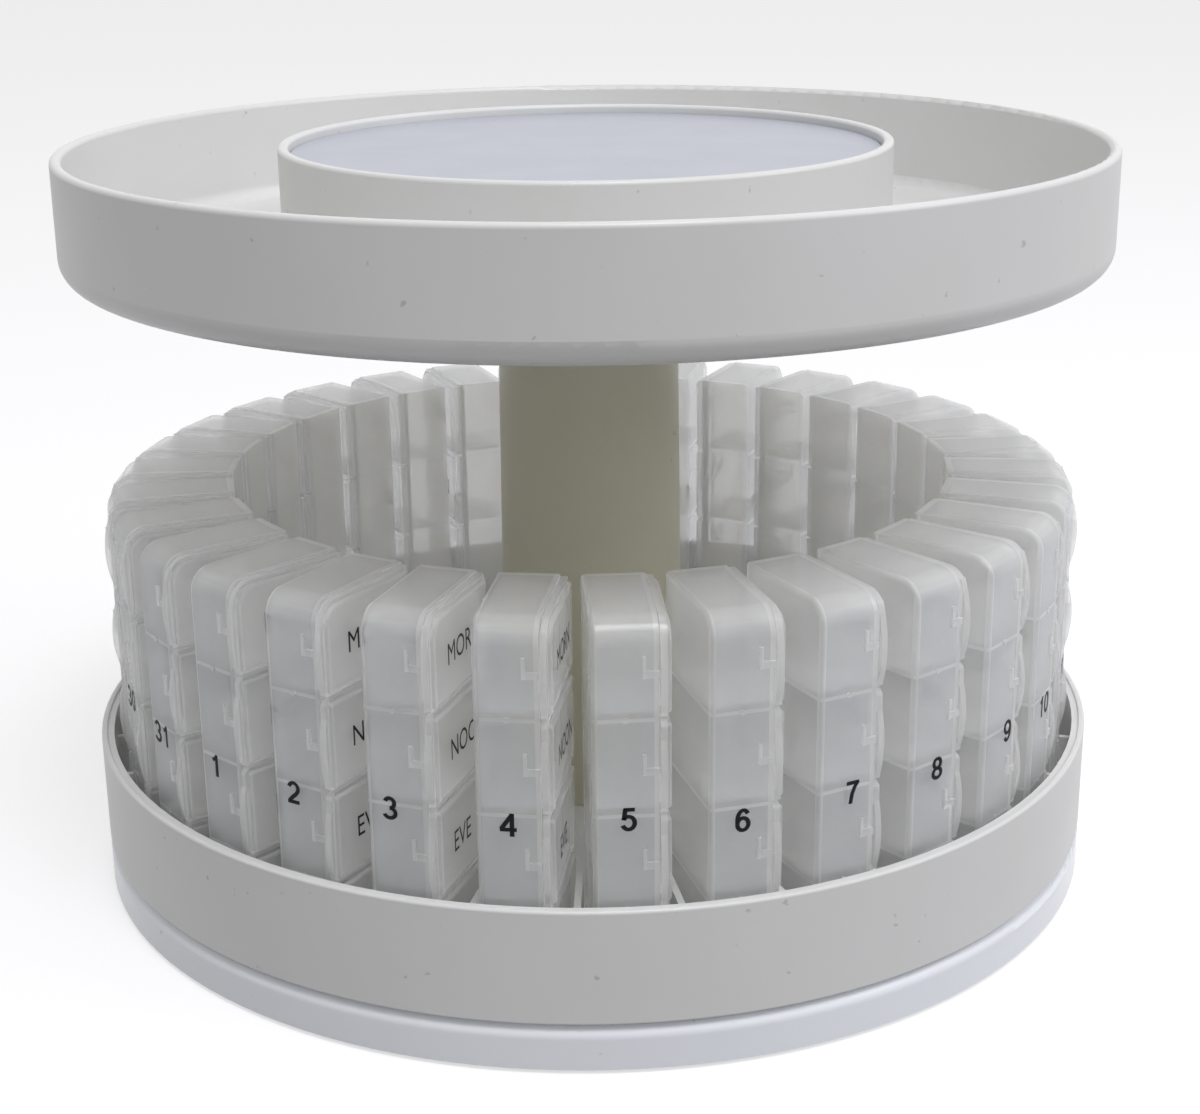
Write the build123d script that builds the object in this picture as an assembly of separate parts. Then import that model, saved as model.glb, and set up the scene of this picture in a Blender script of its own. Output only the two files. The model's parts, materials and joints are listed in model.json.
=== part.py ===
from build123d import *
import math
import os

# Rotating pill organizer. Millimetres, +Z up, the spin axis is Z and the feet stand on Z = 0.
# Day 5 faces -Y, and the days count up anticlockwise seen from above.

# Counts
day_count = 31
compartment_names = ["morn", "noon", "eve", "bed"]
days_with_turning_lids = [3, 4, 5, 6]
front_day = 5
screw_count = 3
foot_count = 6
ball_count = 16

# Outline shared by the base and both trays
tray_radius = 140.0

# Clearances and overruns
seat_gap = 0.3
pivot_clearance = 0.06
ball_clearance = 0.05
pocket_clearance = 0.12
thread_clearance = 0.05
hole_clearance = 0.3
fitting_clearance = 0.15
hinge_clearance = 0.08
overrun = 1.0
match_tolerance = 0.01

# Turntable base
foot_protrusion = 1.0
base_height = 11.2
base_wall = 3.6
base_shoulder = 3.2
base_underside_recess = 1.0
base_plate_thickness = 3.0
foot_radius = 9.0
foot_inset = 22.0
foot_pocket_depth = 0.6
foot_edge = 0.5

# Ball bearing between base and lower tray
race_circle_radius = 70.0
race_width = 8.0
race_land_gap = 2.4
ball_radius = 3.0
cage_width = 10.0
cage_thickness = 1.6

# Pivot in the middle
spindle_radius = 8.0
collar_wall = 5.0
collar_floor_gap = 0.8
pivot_screw_radius = 2.4
pivot_screw_length = 12.0
pivot_screw_head_radius = 4.6
pivot_screw_head_height = 2.8
washer_radius = 12.0
washer_thickness = 1.2
axial_play = 0.3

# Lower tray
tray_running_gap = 0.8
tray_floor = 2.6
lower_wall_height = 29.4
lower_wall = 3.4
rim_bead_width = 1.7
rim_step = 0.6
rim_bead_edge = 0.8
rim_step_edge = 0.4
tray_bottom_edge = 0.5
rib_thickness = 1.7
rib_height = 19.2
rib_inset = 5.8
rib_side_gap = 0.63
column_seat_depth = 0.6

# Column
column_length = 154.3
column_bottom_radius = 26.0
column_top_radius = 24.6
column_wall = 3.0
boss_radius = 4.0
boss_length = 18.0
boss_overlap = 0.5
screw_radius = 1.9
screw_length = 16.0
screw_head_radius = 3.6
screw_head_height = 2.4
screw_head_edge = 1.0
cross_slot_width = 0.9
cross_slot_depth = 1.3
cross_slot_length = 4.2

# Upper tray
upper_wall_height = 31.3
upper_wall = 3.0
upper_bottom_edge = 6.5
upper_lip_edge = 1.3
upper_floor_fillet = 4.0
inner_ring_radius = 82.0
inner_ring_wall = 2.8
inner_ring_lip_edge = 1.0
inner_ring_foot_fillet = 2.0
cover_ledge = 2.2
cover_depth = 2.4
cover_thickness = 2.0
cover_edge = 0.6

# Day box
box_length = 34.0
tab_wall_gap = 2.1
box_wall = 1.3
compartment_pitch = 23.6
box_corner = 6.0
box_edge = 1.2
compartment_corner = 1.5
hinge_land_width = 3.6
hinge_land_depth = 2.8
catch_width = 3.9
catch_height = 5.2
catch_drop = 8.2
catch_foot = 0.6
catch_foot_height = 1.7
catch_bar_width = 0.9
catch_bar = 0.8
gate_mark_radius = 0.7
gate_mark = 0.4
number_division = 2

# Lid
lid_flange = 1.6
lid_panel = 1.1
lid_gap = 0.8
lid_panel_inset = 0.9
lid_panel_edge = 0.8
lid_corner = 2.0
lid_small_corner = 0.6
lid_recess_inset = 2.0
lid_skin = 1.2
tab_bulge = 1.3
tab_chord = 17.0
tab_drop = 13.2
hinge_bead_radius = 1.1
hinge_inset = 1.2
hinge_drop = 0.5
hinge_neck = 1.2
hinge_overhang = 0.5
hinge_end_clearance = 0.15

# Heights that follow from the sizes above
base_bottom_z = foot_protrusion
base_top_z = base_bottom_z + base_height
plate_bottom_z = base_bottom_z + base_underside_recess
plate_top_z = plate_bottom_z + base_plate_thickness
lower_tray_z = base_top_z + tray_running_gap
lower_floor_z = lower_tray_z + tray_floor
lower_rim_z = lower_tray_z + lower_wall_height
column_bottom_z = lower_floor_z - column_seat_depth
column_top_z = column_bottom_z + column_length
upper_tray_z = column_top_z - column_seat_depth
upper_floor_z = upper_tray_z + tray_floor
upper_rim_z = upper_tray_z + upper_wall_height
cover_top_z = upper_rim_z - cover_depth
cover_bottom_z = cover_top_z - cover_thickness
spindle_top_z = column_bottom_z + axial_play
washer_top_z = spindle_top_z + washer_thickness
ball_z = (plate_top_z + lower_tray_z) / 2
race_low_z = ball_z - race_land_gap / 2
race_high_z = ball_z + race_land_gap / 2
box_bottom_z = lower_floor_z + seat_gap
box_height = compartment_pitch * len(compartment_names)
box_top_z = box_bottom_z + box_height

# Radii and places that follow
rim_inner_radius = tray_radius - lower_wall
upper_inner_radius = tray_radius - upper_wall
collar_radius = spindle_radius + pivot_clearance + collar_wall
boss_circle_radius = column_bottom_radius - column_wall - boss_radius + boss_overlap
foot_circle_radius = tray_radius - foot_inset
race_groove_radius = ball_radius + ball_clearance
box_outer_radius = rim_inner_radius - tab_wall_gap - tab_bulge
box_inner_radius = box_outer_radius - box_length
rib_inner_radius = box_inner_radius + rib_inset
day_angle = 360.0 / day_count
slot_width = 2 * rib_inner_radius * math.tan(math.radians(day_angle / 2)) - rib_thickness
box_width = slot_width - 2 * rib_side_gap
day_side = -box_width / 2
lid_top = box_width / 2
lid_bottom = lid_top - lid_flange - lid_panel
body_rim = lid_bottom - seat_gap
flange_top = lid_bottom + lid_flange
hinge_x = box_inner_radius + hinge_inset
hinge_y = body_rim - hinge_drop


def disc(radius, low, high):
    return Pos(0, 0, low) * Cylinder(radius, high - low, align=(Align.CENTER, Align.CENTER, Align.MIN))


def ring(outer, inner, low, high):
    return disc(outer, low, high) - disc(inner, low - overrun, high + overrun)


def block(x_low, x_high, y_low, y_high, z_low, z_high):
    corner = (Align.MIN, Align.MIN, Align.MIN)
    return Pos(x_low, y_low, z_low) * Box(x_high - x_low, y_high - y_low, z_high - z_low, align=corner)


def around(piece, count, first_angle=0.0):
    return [Rot(0, 0, first_angle + 360.0 * n / count) * piece for n in range(count)]


def circle_edges(piece, radius, height):
    """Full circles of one radius at one height."""
    return [
        edge
        for edge in piece.edges().filter_by(GeomType.CIRCLE)
        if abs(edge.radius - radius) < match_tolerance and abs(edge.center().Z - height) < match_tolerance
    ]


def race_groove():
    return Pos(0, 0, ball_z) * Torus(race_circle_radius, race_groove_radius)


def race_ring(low, high):
    half = race_width / 2
    return ring(race_circle_radius + half, race_circle_radius - half, low, high)


def cross_recess(top):
    half_length = cross_slot_length / 2
    half_width = cross_slot_width / 2
    slot = block(-half_length, half_length, -half_width, half_width, top - cross_slot_depth, top + overrun)
    return slot + Rot(0, 0, 90) * slot


def pan_screw(shank_radius, shank_length, head_radius, head_height):
    """Screw pointing down, with the underside of its head at zero."""
    head = disc(head_radius, 0, head_height)
    head = fillet(circle_edges(head, head_radius, head_height), screw_head_edge)
    screw = head + disc(shank_radius, -shank_length, 0)
    return screw - cross_recess(head_height)


def base_plate():
    hollow_radius = tray_radius - base_wall
    base = disc(tray_radius, base_bottom_z, base_top_z)
    base = fillet(circle_edges(base, tray_radius, base_top_z), base_shoulder)
    base -= disc(hollow_radius, plate_top_z, base_top_z + overrun)
    base -= disc(hollow_radius, base_bottom_z - overrun, plate_bottom_z)
    base += race_ring(plate_top_z, race_low_z)
    base += disc(spindle_radius, plate_top_z, spindle_top_z)
    base -= race_groove()
    pilot_radius = pivot_screw_radius + thread_clearance
    base -= disc(pilot_radius, washer_top_z - pivot_screw_length - overrun, spindle_top_z + overrun)
    pocket = disc(foot_radius + fitting_clearance, base_bottom_z, plate_bottom_z + foot_pocket_depth)
    for cut in around(Pos(foot_circle_radius, 0, 0) * pocket, foot_count):
        base -= cut
    return base


def rubber_feet():
    foot = disc(foot_radius, 0, plate_bottom_z + foot_pocket_depth)
    foot = fillet(circle_edges(foot, foot_radius, 0), foot_edge)
    return Compound(children=around(Pos(foot_circle_radius, 0, 0) * foot, foot_count))


def bearing_cage():
    half = cage_width / 2
    cage = ring(race_circle_radius + half, race_circle_radius - half, ball_z - cage_thickness / 2,
                ball_z + cage_thickness / 2)
    pocket = disc(ball_radius + pocket_clearance, race_low_z, race_high_z)
    for cut in around(Pos(race_circle_radius, 0, 0) * pocket, ball_count):
        cage -= cut
    return cage


def bearing_balls():
    return Compound(children=around(Pos(race_circle_radius, 0, ball_z) * Sphere(ball_radius), ball_count))


def pivot_washer():
    return ring(washer_radius, pivot_screw_radius + hole_clearance, spindle_top_z, washer_top_z)


def pivot_screw():
    screw = pan_screw(pivot_screw_radius, pivot_screw_length, pivot_screw_head_radius, pivot_screw_head_height)
    return Pos(0, 0, washer_top_z) * screw


def lower_tray():
    tray = disc(tray_radius, lower_tray_z, lower_rim_z)
    tray -= disc(rim_inner_radius, lower_floor_z, lower_rim_z + overrun)
    bead_radius = tray_radius - rim_bead_width
    tray -= ring(bead_radius, rim_inner_radius - overrun, lower_rim_z - rim_step, lower_rim_z + overrun)
    tray = fillet(circle_edges(tray, tray_radius, lower_rim_z), rim_bead_edge)
    tray = fillet(circle_edges(tray, bead_radius, lower_rim_z), rim_step_edge)
    tray = fillet(circle_edges(tray, tray_radius, lower_tray_z), tray_bottom_edge)
    rib = block(rib_inner_radius, rim_inner_radius + lower_wall / 2, -rib_thickness / 2, rib_thickness / 2,
                lower_floor_z, lower_floor_z + rib_height)
    tray += around(rib, day_count, -90.0 + day_angle / 2)
    tray += disc(collar_radius, plate_top_z + collar_floor_gap, lower_tray_z)
    tray += race_ring(race_high_z, lower_tray_z)
    tray -= race_groove()
    tray -= disc(column_bottom_radius + fitting_clearance, column_bottom_z, lower_floor_z + overrun)
    tray -= disc(spindle_radius + pivot_clearance, plate_top_z, lower_floor_z + overrun)
    hole = disc(screw_radius + hole_clearance, lower_tray_z - overrun, lower_floor_z + overrun)
    for cut in around(Pos(boss_circle_radius, 0, 0) * hole, screw_count):
        tray -= cut
    return tray


def column():
    upright = (Align.CENTER, Align.CENTER, Align.MIN)
    tube = Cone(column_bottom_radius, column_top_radius, column_length, align=upright)
    tube -= Cone(column_bottom_radius - column_wall, column_top_radius - column_wall, column_length, align=upright)
    boss = disc(boss_radius, 0, boss_length)
    pilot = disc(screw_radius + thread_clearance, -overrun, screw_length + overrun)
    for place in around(Pos(boss_circle_radius, 0, 0), screw_count):
        for end in (Pos(0, 0, 0), Pos(0, 0, column_length) * Rot(180, 0, 0)):
            tube += end * place * boss
            tube -= end * place * pilot
    return Pos(0, 0, column_bottom_z) * tube


def column_screws():
    screw = Rot(180, 0, 0) * pan_screw(screw_radius, screw_length, screw_head_radius, screw_head_height)
    return Compound(children=around(Pos(boss_circle_radius, 0, lower_tray_z) * screw, screw_count))


def tray_screws():
    screw = pan_screw(screw_radius, screw_length, screw_head_radius, screw_head_height)
    return Compound(children=around(Pos(-boss_circle_radius, 0, upper_floor_z) * screw, screw_count))


def upper_tray():
    tray = disc(tray_radius, upper_tray_z, upper_rim_z)
    tray = fillet(circle_edges(tray, tray_radius, upper_tray_z), upper_bottom_edge)
    tray -= disc(upper_inner_radius, upper_floor_z, upper_rim_z + overrun)
    lip = circle_edges(tray, tray_radius, upper_rim_z) + circle_edges(tray, upper_inner_radius, upper_rim_z)
    tray = fillet(lip, upper_lip_edge)
    tray = fillet(circle_edges(tray, upper_inner_radius, upper_floor_z), upper_floor_fillet)
    lip_inner_radius = inner_ring_radius - inner_ring_wall
    ledge_radius = lip_inner_radius - cover_ledge
    tray += ring(inner_ring_radius, ledge_radius, upper_floor_z, upper_rim_z)
    tray -= disc(lip_inner_radius, cover_bottom_z, upper_rim_z + overrun)
    lip = circle_edges(tray, inner_ring_radius, upper_rim_z) + circle_edges(tray, lip_inner_radius, upper_rim_z)
    tray = fillet(lip, inner_ring_lip_edge)
    tray = fillet(circle_edges(tray, inner_ring_radius, upper_floor_z), inner_ring_foot_fillet)
    tray -= disc(column_top_radius + fitting_clearance, upper_tray_z - overrun, column_top_z)
    hole = disc(screw_radius + hole_clearance, upper_tray_z - overrun, upper_floor_z + overrun)
    for cut in around(Pos(-boss_circle_radius, 0, 0) * hole, screw_count):
        tray -= cut
    return tray


def centre_cover():
    radius = inner_ring_radius - inner_ring_wall - fitting_clearance
    cover = disc(radius, cover_bottom_z, cover_top_z)
    return fillet(circle_edges(cover, radius, cover_top_z), cover_edge)


def edges_along_y(piece, x, z):
    """Straight edges of a block that run along Y at one x and z."""
    return [
        edge
        for edge in piece.edges().filter_by(Axis.Y)
        if abs(edge.center().X - x) < match_tolerance and abs(edge.center().Z - z) < match_tolerance
    ]


def cell_heights(index):
    high = box_top_z - index * compartment_pitch
    return high - compartment_pitch, high


def lid_heights(index):
    low, high = cell_heights(index)
    return low + lid_gap / 2, high - lid_gap / 2


def compartment(index):
    low, high = cell_heights(index)
    is_top = index == 0
    is_bottom = index == len(compartment_names) - 1
    low += box_wall if is_bottom else box_wall / 2
    high -= box_wall if is_top else box_wall / 2
    x_low = box_inner_radius + box_wall
    x_high = box_outer_radius - box_wall
    cell = block(x_low, x_high, day_side + box_wall, body_rim + overrun, low, high)
    outer_corner = box_corner - box_wall if is_top else compartment_corner
    cell = fillet(edges_along_y(cell, x_high, high), outer_corner)
    for x, z in ((x_low, low), (x_low, high), (x_high, low)):
        cell = fillet(edges_along_y(cell, x, z), compartment_corner)
    return cell


def hinge_groove(index):
    low, high = lid_heights(index)
    groove = disc(hinge_bead_radius + hinge_clearance, low - hinge_end_clearance, high + hinge_end_clearance)
    return Pos(hinge_x, hinge_y, 0) * groove


def box_body():
    """Tray of one day box, standing at angle zero with its open side towards +Y."""
    body = block(box_inner_radius, box_outer_radius, day_side, body_rim, box_bottom_z, box_top_z)
    body = fillet(edges_along_y(body, box_outer_radius, box_top_z), box_corner)
    body = fillet(body.faces().sort_by(Axis.Y)[0].edges(), box_edge)
    for index in range(len(compartment_names)):
        body -= compartment(index)
    body += block(box_inner_radius, box_inner_radius + hinge_land_width, body_rim - hinge_land_depth, body_rim,
                  box_bottom_z, box_top_z)
    for index in range(len(compartment_names)):
        body -= hinge_groove(index)
        high = cell_heights(index)[1] - catch_drop
        body += block(box_outer_radius - box_wall / 2, box_outer_radius + catch_foot, body_rim - catch_width,
                      body_rim, high - catch_height, high - catch_height + catch_foot_height)
        body += block(box_outer_radius - box_wall / 2, box_outer_radius + catch_bar, body_rim - catch_width,
                      body_rim - catch_width + catch_bar_width, high - catch_height, high)
        if index not in (0, number_division):
            mark = Rot(0, 90, 0) * Cylinder(gate_mark_radius, 2 * gate_mark)
            body += Pos(box_outer_radius, (day_side + body_rim) / 2, cell_heights(index)[1]) * mark
    return body


def lid(index):
    """Lid of one compartment, shut, at angle zero."""
    low, high = lid_heights(index)
    x_low = hinge_x - hinge_overhang
    x_high = box_outer_radius
    flange = block(x_low, x_high, lid_bottom, flange_top, low, high)
    top_corner = box_corner if index == 0 else lid_corner
    flange = fillet(edges_along_y(flange, x_high, high), top_corner)
    flange = fillet(edges_along_y(flange, x_high, low), lid_small_corner)
    tab_radius = (tab_chord ** 2 / 4 + tab_bulge ** 2) / (2 * tab_bulge)
    tab = Pos(x_high + tab_bulge - tab_radius, (lid_bottom + flange_top) / 2, high - tab_drop) * (
        Rot(90, 0, 0) * Cylinder(tab_radius, lid_flange))
    flange += tab & block(x_high - overrun, x_high + tab_bulge + overrun, lid_bottom, flange_top, low, high)
    panel_high_x = x_high - lid_panel_inset
    panel_high_z = high - lid_panel_inset
    panel = block(x_low + lid_panel_inset, panel_high_x, flange_top, lid_top, low + lid_panel_inset, panel_high_z)
    panel = fillet(edges_along_y(panel, panel_high_x, panel_high_z), top_corner - lid_panel_inset)
    panel = fillet(panel.faces().sort_by(Axis.Y)[-1].edges(), lid_panel_edge)
    piece = flange + panel
    recess_x_high = x_high - lid_recess_inset
    recess_z_high = high - lid_recess_inset
    recess = block(box_inner_radius + hinge_land_width, recess_x_high, lid_bottom - overrun, lid_top - lid_skin,
                   low + lid_recess_inset, recess_z_high)
    if top_corner > lid_recess_inset:
        recess = fillet(edges_along_y(recess, recess_x_high, recess_z_high), top_corner - lid_recess_inset)
    piece -= recess
    piece += Pos(hinge_x, hinge_y, 0) * disc(hinge_bead_radius, low, high)
    piece += block(hinge_x - hinge_neck / 2, hinge_x + hinge_neck / 2, hinge_y, flange_top, low, high)
    return piece


def place_at_day(piece, day):
    return Rot(0, 0, -90.0 + (day - front_day) * day_angle) * piece


def write(name, piece):
    export_step(piece, os.path.join("parts", name + ".step"))


os.makedirs("parts", exist_ok=True)

write("base_plate", base_plate())
write("rubber_feet", rubber_feet())
write("bearing_cage", bearing_cage())
write("bearing_balls", bearing_balls())
write("pivot_washer", pivot_washer())
write("pivot_screw", pivot_screw())
write("lower_tray", lower_tray())
write("column", column())
write("column_screws", column_screws())
write("upper_tray", upper_tray())
write("tray_screws", tray_screws())
write("centre_cover", centre_cover())

upright_body = box_body()
upright_lids = [lid(index) for index in range(len(compartment_names))]
for day in range(1, day_count + 1):
    body = place_at_day(upright_body, day)
    lids = [place_at_day(piece, day) for piece in upright_lids]
    if day in days_with_turning_lids:
        write(f"day_box_{day:02d}", body)
        for name, piece in zip(compartment_names, lids):
            write(f"{name}_lid_{day:02d}", piece)
    else:
        write(f"day_box_{day:02d}", Compound(children=[body] + lids))
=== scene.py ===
import json
import math

import bpy
from mathutils import Matrix, Vector


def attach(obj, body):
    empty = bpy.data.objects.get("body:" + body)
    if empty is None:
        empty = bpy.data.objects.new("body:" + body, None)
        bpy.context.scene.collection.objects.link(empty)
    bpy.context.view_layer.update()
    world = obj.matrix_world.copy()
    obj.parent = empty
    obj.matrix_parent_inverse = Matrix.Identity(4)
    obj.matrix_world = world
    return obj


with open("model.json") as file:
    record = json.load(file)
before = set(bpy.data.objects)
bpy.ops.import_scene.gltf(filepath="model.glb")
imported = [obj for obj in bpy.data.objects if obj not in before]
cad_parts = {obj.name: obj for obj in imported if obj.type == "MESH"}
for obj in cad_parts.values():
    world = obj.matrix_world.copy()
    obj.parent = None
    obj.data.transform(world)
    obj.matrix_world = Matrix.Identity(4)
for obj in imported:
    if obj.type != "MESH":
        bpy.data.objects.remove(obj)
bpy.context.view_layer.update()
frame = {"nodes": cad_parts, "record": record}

# Sizes are in metres. The spin axis is Z, day 5 faces -Y and the days count up anticlockwise.
MM = 0.001
DAY_COUNT = 31
FRONT_DAY = 5
DAYS_WITH_TURNING_LIDS = (3, 4, 5, 6)
COMPARTMENTS = ("morn", "noon", "eve", "bed")
DAY_PITCH = 2 * math.pi / DAY_COUNT
BOX_OUTER = 133.2 * MM
BOX_TOP = 110.3 * MM
COMPARTMENT_PITCH = 23.6 * MM
LID_TOP = 9.2 * MM

# Walls of a box that stand edge on to the eye: the axis that they don't face along, what they are measured on, the
# middle of the wall and half its thickness. "cell" is the distance below a division between two compartments.
WALLS_SEEN_EDGE_ON = (
    ("Y", "Y", -8.55 * MM, 0.65 * MM),
    ("Y", "Y", 5.6 * MM, 0.6 * MM),
    ("Y", "Y", 7.3 * MM, 0.8 * MM),
    ("X", "X", BOX_OUTER - 0.65 * MM, 0.65 * MM),
    ("X", "X", 99.85 * MM, 0.65 * MM),
    ("Z", "cell", 0.0, 0.45 * MM),
)

# Pad print. Each box was printed by hand, so the numbers sit a little differently: day, sideways and height.
NUMBER_HEIGHT = 5.8 * MM
NUMBER_STROKE = 0.084
NUMBER_ADVANCE = 0.66
NUMBER_WIDE = 1.14
NUMBER_PLACES = {31: (-3.4, 60.5), 1: (-3.6, 60.5), 2: (-3.2, 60.7), 3: (-3.3, 62.0), 4: (-1.7, 60.7), 5: (-0.9, 62.3),
                 6: (-1.1, 59.7), 7: (0.5, 61.7), 8: (-0.1, 61.1), 9: (2.6, 61.7), 10: (0.9, 60.0)}
WORD_HEIGHT = 5.3 * MM
WORD_START = 8.1 * MM
WORD_NARROW = 0.86
PRINT_THICKNESS = 0.04 * MM
INK_FLATNESS = 0.07

# Sizes of the patterns in the materials, as they are drawn
TONE_CLOUD = 60 * MM
RUBBED_PATCH = 20 * MM
SPECK_SPACING = 3.5 * MM
MOULDED_GRAIN = 0.7 * MM
PANE_CLOUD = 30 * MM
FROSTED_GRAIN = 0.8 * MM
GRAIN_DEPTH = 0.03 * MM
INK_MOTTLE = 1 * MM
METAL_MARKS = 2 * MM
HINGE_WALL_STARTS = 101.2 * MM
HINGE_WALL_FULL = 100.6 * MM
# How far down the painted shade below a division reaches
SHADE_BELOW_DIVISION = 10 * MM

# Light. A strength of 1 is white.
SKY_LEFT = 0.43
SKY_RIGHT = 0.55
BACKDROP = 1.0
FLOOR_GLOW = 0.62
FLOOR_SIZE = 30.0
OBJECT_MIDDLE = 0.1


def deselect():
    bpy.ops.object.select_all(action="DESELECT")


def turned_to_day(day):
    return Matrix.Rotation(-math.pi / 2 + (day - FRONT_DAY) * DAY_PITCH, 4, "Z")


# ---------------------------------------------------------------- materials
def linear(hex_value):
    """sRGB hex colour as linear red, green, blue and alpha."""
    parts = [int(hex_value[i:i + 2], 16) / 255 for i in (1, 3, 5)]
    return [c / 12.92 if c <= 0.04045 else ((c + 0.055) / 1.055) ** 2.4 for c in parts] + [1.0]


def add_node(tree, kind, settings=None, links=None):
    """A node with its settings and links. A key is a socket's name or number, or a property of the node."""
    node = tree.nodes.new(kind)
    for key, value in (settings or {}).items():
        if isinstance(key, int) or key in node.inputs:
            node.inputs[key].default_value = value
        else:
            setattr(node, key, value)
    for key, source in (links or {}).items():
        tree.links.new(source, node.inputs[key])
    return node


def new_material(name):
    material = bpy.data.materials.new(name)
    material.use_nodes = True
    material.node_tree.nodes.clear()
    return material, material.node_tree


def close_material(tree, shader):
    add_node(tree, "ShaderNodeOutputMaterial", links={"Surface": shader})


# The tool's own grain is near 0.03 mm, too fine to show, so it is drawn 0.7 mm coarse. The specks are dust and stray
# pigment, half a millimetre across and a few centimetres apart.
def moulded_plastic(name, colour, tone, roughness):
    material, tree = new_material(name)
    place = add_node(tree, "ShaderNodeTexCoord").outputs["Object"]
    cloud = add_node(tree, "ShaderNodeTexNoise", {"Scale": 1 / TONE_CLOUD, "Detail": 3.0}, {"Vector": place})
    share = add_node(tree, "ShaderNodeMapRange", {"From Min": 0.35, "From Max": 0.7}, {"Value": cloud.outputs["Fac"]})
    mix = add_node(tree, "ShaderNodeMix", {"data_type": "RGBA", 6: linear(colour), 7: linear(tone)},
                   {0: share.outputs[0]})
    dirt = add_node(tree, "ShaderNodeTexNoise", {"Scale": 1 / SPECK_SPACING, "Detail": 2.0}, {"Vector": place})
    specks = add_node(tree, "ShaderNodeMapRange", {"From Min": 0.73, "From Max": 0.78, "To Max": 0.35},
                      {"Value": dirt.outputs["Fac"]})
    mix = add_node(tree, "ShaderNodeMix", {"data_type": "RGBA", 7: linear("#77705F")},
                   {0: specks.outputs[0], 6: mix.outputs[2]})
    grain = add_node(tree, "ShaderNodeTexNoise", {"Scale": 1 / MOULDED_GRAIN, "Detail": 1.0}, {"Vector": place})
    bump = add_node(tree, "ShaderNodeBump", {"Strength": 0.25, "Distance": GRAIN_DEPTH},
                    {"Height": grain.outputs["Fac"]})
    rub = add_node(tree, "ShaderNodeTexNoise", {"Scale": 1 / RUBBED_PATCH, "Detail": 4.0}, {"Vector": place})
    rough = add_node(tree, "ShaderNodeMapRange", {"To Min": roughness - 0.07, "To Max": roughness + 0.07},
                     {"Value": rub.outputs["Fac"]})
    shader = add_node(tree, "ShaderNodeBsdfPrincipled", {"IOR": 1.53},
                      {"Base Color": mix.outputs[2], "Roughness": rough.outputs[0], "Normal": bump.outputs[0]})
    close_material(tree, shader.outputs[0])
    return material
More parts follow.
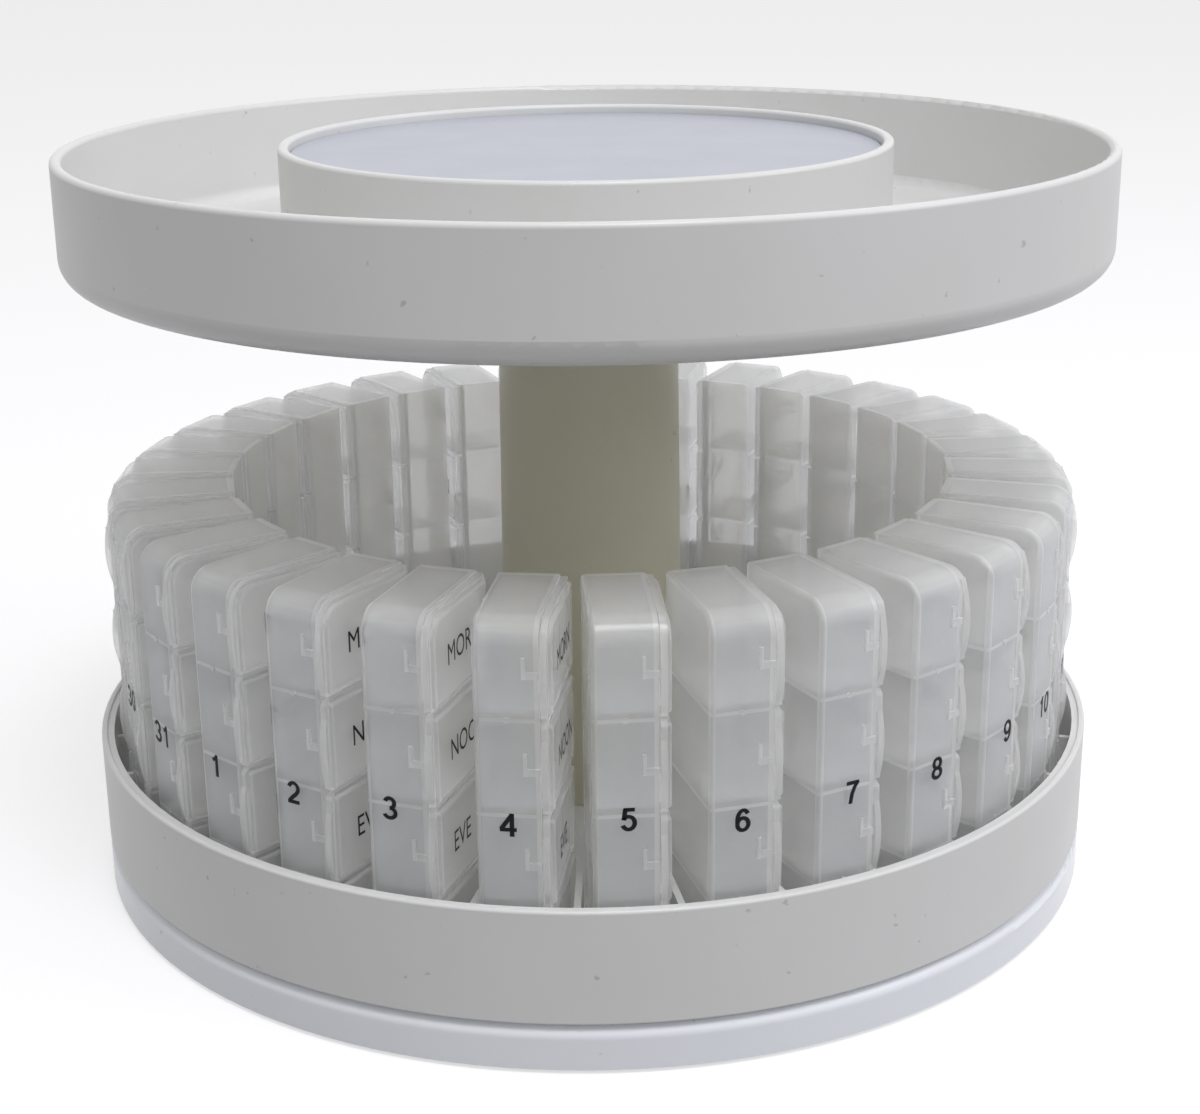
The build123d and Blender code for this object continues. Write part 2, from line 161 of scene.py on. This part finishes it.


# Frosted polypropylene, moulded. The eye sees milky panes that show what is behind them softly, brighter and less
# clear wherever a wall is seen edge on: along the rims, the divisions, the catches and the thumb tabs. The wall with
# the film hinge is the milkiest. A painted shade makes the panes that face outwards a little darker and cooler, and
# another darkens each pane just below a division but the top one. The frosting is near 0.05 mm, too fine to show,
# so it is drawn 0.8 mm coarse.
def frosted_polypropylene():
    material, tree = new_material("frosted_polypropylene_moulded")
    texture = add_node(tree, "ShaderNodeTexCoord")
    spot = texture.outputs["Object"]
    start = add_node(tree, "ShaderNodeSeparateXYZ", links={0: spot})
    bearing = add_node(tree, "ShaderNodeMath", {"operation": "ARCTAN2"}, {0: start.outputs["Y"], 1: start.outputs["X"]})
    from_front = add_node(tree, "ShaderNodeMath", {"operation": "ADD", 1: math.pi / 2}, {0: bearing.outputs[0]})
    in_slot = add_node(tree, "ShaderNodeMath", {"operation": "WRAP", 1: DAY_PITCH / 2, 2: -DAY_PITCH / 2},
                       {0: from_front.outputs[0]})
    turn = add_node(tree, "ShaderNodeMath", {"operation": "SUBTRACT"}, {0: in_slot.outputs[0], 1: bearing.outputs[0]})
    upright = add_node(tree, "ShaderNodeVectorRotate", {"rotation_type": "Z_AXIS"},
                       {"Vector": spot, "Angle": turn.outputs[0]})
    facing = add_node(tree, "ShaderNodeVectorRotate", {"rotation_type": "Z_AXIS"},
                      {"Vector": texture.outputs["Normal"], "Angle": turn.outputs[0]})
    facing = add_node(tree, "ShaderNodeVectorMath", {"operation": "ABSOLUTE"}, {0: facing.outputs[0]})
    place = add_node(tree, "ShaderNodeSeparateXYZ", links={0: upright.outputs[0]})
    face = add_node(tree, "ShaderNodeSeparateXYZ", links={0: facing.outputs[0]})
    depth = add_node(tree, "ShaderNodeMath", {"operation": "SUBTRACT", 0: BOX_TOP}, {1: place.outputs["Z"]})
    half_cell = COMPARTMENT_PITCH / 2
    in_cell = add_node(tree, "ShaderNodeMath", {"operation": "WRAP", 1: half_cell, 2: -half_cell},
                       {0: depth.outputs[0]})
    edge_on = None
    for axis, source, middle, half in WALLS_SEEN_EDGE_ON:
        value = in_cell.outputs[0] if source == "cell" else place.outputs[source]
        band = add_node(tree, "ShaderNodeMath", {"operation": "COMPARE", 1: middle, 2: half}, {0: value})
        across = add_node(tree, "ShaderNodeMapRange", {"From Min": 0.2, "From Max": 0.9, "To Min": 1.0, "To Max": 0.0},
                          {"Value": face.outputs[axis]})
        band = add_node(tree, "ShaderNodeMath", {"operation": "MULTIPLY"}, {0: band.outputs[0], 1: across.outputs[0]})
        edge_on = band if edge_on is None else add_node(
            tree, "ShaderNodeMath", {"operation": "MAXIMUM"}, {0: edge_on.outputs[0], 1: band.outputs[0]})
    raised = add_node(tree, "ShaderNodeMapRange", {"From Min": BOX_OUTER + 0.1 * MM, "From Max": BOX_OUTER + 0.8 * MM},
                      {"Value": place.outputs["X"]})
    thick = add_node(tree, "ShaderNodeMath", {"operation": "MAXIMUM"}, {0: edge_on.outputs[0], 1: raised.outputs[0]})
    # Painted shade: a pane is darker just below each division but the top one, and a cloud runs over it.
    below = add_node(tree, "ShaderNodeMapRange", {"From Min": 0.0, "From Max": SHADE_BELOW_DIVISION},
                     {"Value": in_cell.outputs[0]})
    cloud = add_node(tree, "ShaderNodeTexNoise", {"Scale": 1 / PANE_CLOUD, "Detail": 3.0}, {"Vector": spot})
    cloud = add_node(tree, "ShaderNodeMapRange", {"To Min": -0.15, "To Max": 0.15}, {"Value": cloud.outputs["Fac"]})
    shade = below
    for height, limit in ((in_cell, 0.0), (depth, half_cell)):
        lit = add_node(tree, "ShaderNodeMath", {"operation": "LESS_THAN", 1: limit}, {0: height.outputs[0]})
        shade = add_node(tree, "ShaderNodeMath", {"operation": "MAXIMUM"}, {0: shade.outputs[0], 1: lit.outputs[0]})
    shade = add_node(tree, "ShaderNodeMath", {"operation": "ADD"}, {0: shade.outputs[0], 1: cloud.outputs[0]})
    # The shaded and the lit colour of the painted shade below the divisions
    pane = add_node(tree, "ShaderNodeMix", {"data_type": "RGBA", 6: linear("#E9EAEA"), 7: linear("#FBFBFA")},
                    {0: shade.outputs[0]})
    # Painted shade: the panes that face outwards are painted a little darker and cooler than the rest.
    outward_painted_shade = add_node(tree, "ShaderNodeMapRange", {"From Min": 0.6, "From Max": 1.0, "To Max": 0.5},
                       {"Value": face.outputs["X"]})
    pane = add_node(tree, "ShaderNodeMix", {"data_type": "RGBA", 7: linear("#E2E7EE")},
                    {0: outward_painted_shade.outputs[0], 6: pane.outputs[2]})
    hinge_wall = add_node(tree, "ShaderNodeMapRange", {"From Min": HINGE_WALL_STARTS, "From Max": HINGE_WALL_FULL},
                          {"Value": place.outputs["X"]})
    pane = add_node(tree, "ShaderNodeMix", {"data_type": "RGBA", 7: linear("#FFFEFA")},
                    {0: hinge_wall.outputs[0], 6: pane.outputs[2]})
    colour = add_node(tree, "ShaderNodeMix", {"data_type": "RGBA", 7: linear("#FBFBFB")},
                      {0: thick.outputs[0], 6: pane.outputs[2]})
    dense = add_node(tree, "ShaderNodeMath", {"operation": "MAXIMUM"}, {0: thick.outputs[0], 1: hinge_wall.outputs[0]})
    solid = add_node(tree, "ShaderNodeMapRange", {"To Min": 0.38, "To Max": 0.47}, {"Value": dense.outputs[0]})
    grain = add_node(tree, "ShaderNodeTexNoise", {"Scale": 1 / FROSTED_GRAIN, "Detail": 1.0}, {"Vector": spot})
    bump = add_node(tree, "ShaderNodeBump", {"Strength": 0.08, "Distance": GRAIN_DEPTH},
                    {"Height": grain.outputs["Fac"]})
    shader = add_node(tree, "ShaderNodeBsdfPrincipled", {"IOR": 1.49, "Roughness": 0.85, "Transmission Weight": 0.45,
                                                         "Coat Weight": 0.7, "Coat Roughness": 0.17},
                      {"Base Color": colour.outputs[2], "Alpha": solid.outputs[0], "Normal": bump.outputs[0]})
    close_material(tree, shader.outputs[0])
    return material


# Solvent ink put on with a silicone pad. The eye sees flat, almost black lettering without a shine. Its mottle is near
# 0.05 mm, too fine to show, so it is drawn 1 mm coarse.
def pad_print_ink():
    material, tree = new_material("black_pad_print_ink")
    place = add_node(tree, "ShaderNodeTexCoord").outputs["Object"]
    cloud = add_node(tree, "ShaderNodeTexNoise", {"Scale": 1 / INK_MOTTLE, "Detail": 2.0}, {"Vector": place})
    mix = add_node(tree, "ShaderNodeMix", {"data_type": "RGBA", 6: linear("#030305"), 7: linear("#08080C")},
                   {0: cloud.outputs["Fac"]})
    shader = add_node(tree, "ShaderNodeBsdfPrincipled", {"Roughness": 0.6, "Specular IOR Level": 0.2},
                      {"Base Color": mix.outputs[2]})
    close_material(tree, shader.outputs[0])
    return material


MATERIALS = {
    # ABS moulded in a satin tool: an even warm white with a soft sheen and a few specks
    "tray_plastic": moulded_plastic("warm_white_abs_moulded", "#DEDEDD", "#DADAD8", 0.38),
    # ABS moulded as a long tapered tube: ivory, and duller than the trays
    "column_plastic": moulded_plastic("ivory_abs_tube_moulded", "#C5C2AC", "#BFBCA6", 0.42),
    # Styrene moulded in a polished tool: a cooler, brighter white with a clear reflection
    "base_plastic": moulded_plastic("cool_white_gloss_styrene", "#F4F6FB", "#F0F3F9", 0.22),
    # A disc moulded with a satin face: pale blue grey with one broad soft highlight
    "cover_plastic": moulded_plastic("cool_white_satin_disc", "#ADB0BC", "#A9ADB9", 0.34),
    # Moulded rubber: near black and matt
    "foot_rubber": moulded_plastic("black_rubber_moulded", "#1C1C1C", "#262626", 0.75),
    # Acetal moulded without a dye: greyish white with a waxy sheen
    "cage_plastic": moulded_plastic("natural_acetal_moulded", "#C9C8C0", "#C2C1B8", 0.4),
    "frosted_polypropylene": frosted_polypropylene(),
    "print_ink": pad_print_ink(),
}


# Marks of polishing and plating are near 0.01 mm, too fine to show, so they are drawn 2 mm coarse.
def metal(name, colour, roughness):
    material, tree = new_material(name)
    place = add_node(tree, "ShaderNodeTexCoord").outputs["Object"]
    cloud = add_node(tree, "ShaderNodeTexNoise", {"Scale": 1 / METAL_MARKS, "Detail": 2.0}, {"Vector": place})
    rough = add_node(tree, "ShaderNodeMapRange", {"To Min": roughness - 0.05, "To Max": roughness + 0.08},
                     {"Value": cloud.outputs["Fac"]})
    shader = add_node(tree, "ShaderNodeBsdfPrincipled", {"Base Color": linear(colour), "Metallic": 1.0},
                      {"Roughness": rough.outputs[0]})
    close_material(tree, shader.outputs[0])
    return material


# Ground and polished bearing steel: a small bright mirror. Zinc plating: a whiter grey with a blurred reflection.
MATERIALS["ball_steel"] = metal("bearing_steel_polished", "#C4C6C8", 0.12)
MATERIALS["screw_steel"] = metal("zinc_plated_steel", "#B4B7BA", 0.3)

for part in frame["record"]["subparts"]:
    cad = frame["nodes"][part["node"]]
    for index in range(len(cad.material_slots)):
        cad.material_slots[index].material = MATERIALS[part["material_slot"]]


# ---------------------------------------------------------------- pad print
def flat_word(text):
    """Flat print of a word on the XY plane, starting at x = 0."""
    deselect()
    bpy.ops.object.text_add()
    word = bpy.context.object
    word.data.body = text
    word.data.resolution_u = 4
    bpy.ops.object.convert(target="MESH")
    word = bpy.context.object
    xs = [v.co.x for v in word.data.vertices]
    ys = [v.co.y for v in word.data.vertices]
    scale = WORD_HEIGHT / (max(ys) - min(ys))
    word.data.transform(Matrix.Diagonal((scale * WORD_NARROW, scale, 1, 1))
                        @ Matrix.Translation((-min(xs), -(min(ys) + max(ys)) / 2, 0)))
    word.data.materials.append(MATERIALS["print_ink"])
    return word


def printed_word(name, pattern, place, body):
    """A copy of a flat word, with a mesh of its own, at its place on a lid."""
    word = pattern.copy()
    word.data = pattern.data.copy()
    word.name = name
    bpy.context.collection.objects.link(word)
    word.data.transform(place)
    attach(word, body)


def arc(x, y, wide, tall, first, last):
    """Points of a stroke along part of an ellipse, from one angle in degrees to another."""
    count = max(4, round(abs(last - first) / 18))
    angles = [math.radians(first + (last - first) * step / count) for step in range(count + 1)]
    return [(x + wide * math.cos(angle), y + tall * math.sin(angle)) for angle in angles]


# Middle lines of the strokes of each digit, in a frame one unit high
SIX = [arc(0.28, 0.33, 0.205, 0.265, 180, 540), arc(0.29, 0.5, 0.215, 0.44, 190, 38)]
DIGITS = {
    "0": [arc(0.28, 0.5, 0.21, 0.435, 90, 450)],
    "1": [[(0.36, 0.0), (0.36, 1.0)], [(0.38, 0.93), (0.29, 0.81), (0.14, 0.73)]],
    "2": [arc(0.28, 0.685, 0.205, 0.25, 165, -25) + [(0.37, 0.44), (0.2, 0.27), (0.1, 0.15), (0.07, 0.04)],
          [(0.0, 0.08), (0.52, 0.08)]],
    "3": [arc(0.265, 0.715, 0.18, 0.22, 160, -90), arc(0.265, 0.285, 0.215, 0.22, 90, -165)],
    "4": [[(0.4, 0.0), (0.4, 1.0)], [(0.42, 0.98), (0.02, 0.33)], [(-0.03, 0.3), (0.57, 0.3)]],
    "5": [[(0.49, 0.92), (0.1, 0.92)], [(0.16, 0.97), (0.1, 0.47)], arc(0.265, 0.345, 0.215, 0.28, 148, -160)],
    "6": SIX,
    "7": [[(0.03, 0.92), (0.55, 0.92)], [(0.52, 0.96), (0.37, 0.7), (0.27, 0.42), (0.21, 0.0)]],
    "8": [arc(0.28, 0.72, 0.18, 0.215, 90, 450), arc(0.28, 0.28, 0.21, 0.22, 90, 450)],
    "9": [[(0.56 - x, 1 - y) for x, y in stroke] for stroke in SIX],
}
INK_FILM = Matrix.Diagonal((NUMBER_WIDE, 1, INK_FLATNESS, 1))


def printed_number(day, place, body):
    """Day number as a thin film of ink, its strokes drawn along their middle lines."""
    curve = bpy.data.curves.new(f"number_print_{day:02d}", "CURVE")
    curve.dimensions = "3D"
    curve.bevel_depth = NUMBER_STROKE
    curve.bevel_resolution = 1
    curve.use_fill_caps = True
    for index, digit in enumerate(str(day)):
        for stroke in DIGITS[digit]:
            spline = curve.splines.new("POLY")
            spline.points.add(len(stroke) - 1)
            for point, (x, y) in zip(spline.points, stroke):
                point.co = (x + index * NUMBER_ADVANCE, y - 0.5, 0, 1)
    number = bpy.data.objects.new(curve.name, curve)
    bpy.context.collection.objects.link(number)
    deselect()
    number.select_set(True)
    bpy.context.view_layer.objects.active = number
    bpy.ops.object.convert(target="MESH")
    number = bpy.context.object
    middle = (max(v.co.x for v in number.data.vertices) + min(v.co.x for v in number.data.vertices)) / 2
    number.data.transform(place @ Matrix.Scale(NUMBER_HEIGHT, 4) @ INK_FILM @ Matrix.Translation((-middle, 0, 0)))
    number.data.materials.append(MATERIALS["print_ink"])
    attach(number, body)


NUMBER_FACE = Matrix(((0, 0, 1, 0), (1, 0, 0, 0), (0, 1, 0, 0), (0, 0, 0, 1)))
WORD_FACE = Matrix(((-1, 0, 0, 0), (0, 0, 1, 0), (0, 1, 0, 0), (0, 0, 0, 1)))
flat_words = {name: flat_word(name.upper()) for name in COMPARTMENTS}
for day in range(1, DAY_COUNT + 1):
    turn = turned_to_day(day)
    sideways, height = NUMBER_PLACES.get(day, (math.sin(2.4 * day) - 1.2, 61.0 + 0.8 * math.sin(1.7 * day)))
    face = Matrix.Translation((BOX_OUTER + PRINT_THICKNESS, sideways * MM, height * MM)) @ NUMBER_FACE
    printed_number(day, turn @ face, f"box_{day:02d}")
    for index, name in enumerate(COMPARTMENTS):
        z = BOX_TOP - (index + 0.5) * COMPARTMENT_PITCH
        place = turn @ Matrix.Translation((BOX_OUTER - WORD_START, LID_TOP + PRINT_THICKNESS, z)) @ WORD_FACE
        body = f"{name}_lid_{day:02d}" if day in DAYS_WITH_TURNING_LIDS else f"box_{day:02d}"
        printed_word(f"{name}_print_{day:02d}", flat_words[name], place, body)
for word in flat_words.values():
    bpy.data.objects.remove(word)

# ---------------------------------------------------------------- camera, the photograph's own, solved from it
CAMERA_DISTANCE = 0.5674
CAMERA_HEIGHT = 0.2701
CAMERA_PITCH = 0.3211
CAMERA_YAW = -0.0044
CAMERA_ROLL = -0.0116
CAMERA_TURN = -0.0654
FOCAL_PIXELS = 2090.6
IMAGE_WIDTH = 1200

deselect()
bpy.ops.object.camera_add()
camera = bpy.context.object
camera.data.sensor_width = 36.0
camera.data.lens = FOCAL_PIXELS * camera.data.sensor_width / IMAGE_WIDTH
sight = (Matrix.Rotation(CAMERA_TURN, 4, "Z") @ Matrix.Translation((0, -CAMERA_DISTANCE, CAMERA_HEIGHT))
         @ Matrix.Rotation(CAMERA_YAW, 4, "Z") @ Matrix.Rotation(math.pi / 2 - CAMERA_PITCH, 4, "X")
         @ Matrix.Rotation(CAMERA_ROLL, 4, "Z"))
camera.matrix_world = sight
bpy.context.scene.camera = camera

# ---------------------------------------------------------------- floor and light
def seen_directly(tree):
    """One for rays from the camera, a reflection or a clear surface, and zero for light that is scattered."""
    path = add_node(tree, "ShaderNodeLightPath")
    glossy = add_node(tree, "ShaderNodeMath", {"operation": "MAXIMUM"},
                      {0: path.outputs["Is Camera Ray"], 1: path.outputs["Is Glossy Ray"]})
    return add_node(tree, "ShaderNodeMath", {"operation": "MAXIMUM"},
                    {0: glossy.outputs[0], 1: path.outputs["Is Transmission Ray"]}).outputs[0]


deselect()
bpy.ops.mesh.primitive_plane_add(size=FLOOR_SIZE)
floor = bpy.context.object
floor.name = "floor"
material, tree = new_material("pale_studio_floor")
paper = add_node(tree, "ShaderNodeBsdfDiffuse", {"Color": linear("#9A9A9C")})
shaded = add_node(tree, "ShaderNodeBsdfDiffuse", {"Color": linear("#B4B4B6")})
glow = add_node(tree, "ShaderNodeEmission", {"Color": linear("#FFFFFF"), "Strength": FLOOR_GLOW})
bright = add_node(tree, "ShaderNodeAddShader", links={0: shaded.outputs[0], 1: glow.outputs[0]})
mixed = add_node(tree, "ShaderNodeMixShader", links={0: seen_directly(tree), 1: paper.outputs[0], 2: bright.outputs[0]})
close_material(tree, mixed.outputs[0])
floor.data.materials.append(material)

world = bpy.data.worlds.new("studio")
bpy.context.scene.world = world
world.use_nodes = True
world.node_tree.nodes.clear()
tree = world.node_tree
sky = add_node(tree, "ShaderNodeSeparateXYZ", links={0: add_node(tree, "ShaderNodeTexCoord").outputs["Generated"]})
side = add_node(tree, "ShaderNodeMapRange",
                {"From Min": -1.0, "From Max": 1.0, "To Min": SKY_LEFT, "To Max": SKY_RIGHT},
                {"Value": sky.outputs["X"]})
strength = add_node(tree, "ShaderNodeMix", {"data_type": "FLOAT", 3: BACKDROP},
                    {0: seen_directly(tree), 2: side.outputs[0]})
light = add_node(tree, "ShaderNodeBackground", {"Color": linear("#FFFFFF")}, {"Strength": strength.outputs[0]})
add_node(tree, "ShaderNodeOutputWorld", links={"Surface": light.outputs[0]})


def softbox(name, azimuth, elevation, distance, size, power, colour):
    """Square area lamp aimed at the middle of the object. Azimuth 0 is at the front and 90 at the right."""
    a, e = math.radians(azimuth), math.radians(elevation)
    away = Vector((math.sin(a) * math.cos(e), -math.cos(a) * math.cos(e), math.sin(e)))
    deselect()
    bpy.ops.object.light_add(type="AREA")
    lamp = bpy.context.object
    lamp.name = name
    lamp.data.shape = "SQUARE"
    lamp.data.size = size
    lamp.data.energy = power
    lamp.data.color = linear(colour)[:3]
    lamp.location = Vector((0, 0, OBJECT_MIDDLE)) + away * distance
    lamp.rotation_euler = away.to_track_quat("Z", "Y").to_euler()


softbox("key_softbox", 70, 35, 1.8, 1.0, 7.6, "#F8F8FF")
softbox("overhead_softbox", 15, 68, 1.8, 0.5, 14.0, "#FBFBFF")

bpy.context.scene.view_settings.view_transform = "Standard"
# Light reaches the middle of the ring of frosted boxes through many thin walls.
bpy.context.scene.cycles.max_bounces = 16
bpy.context.scene.cycles.diffuse_bounces = 10
bpy.context.scene.cycles.transparent_max_bounces = 24
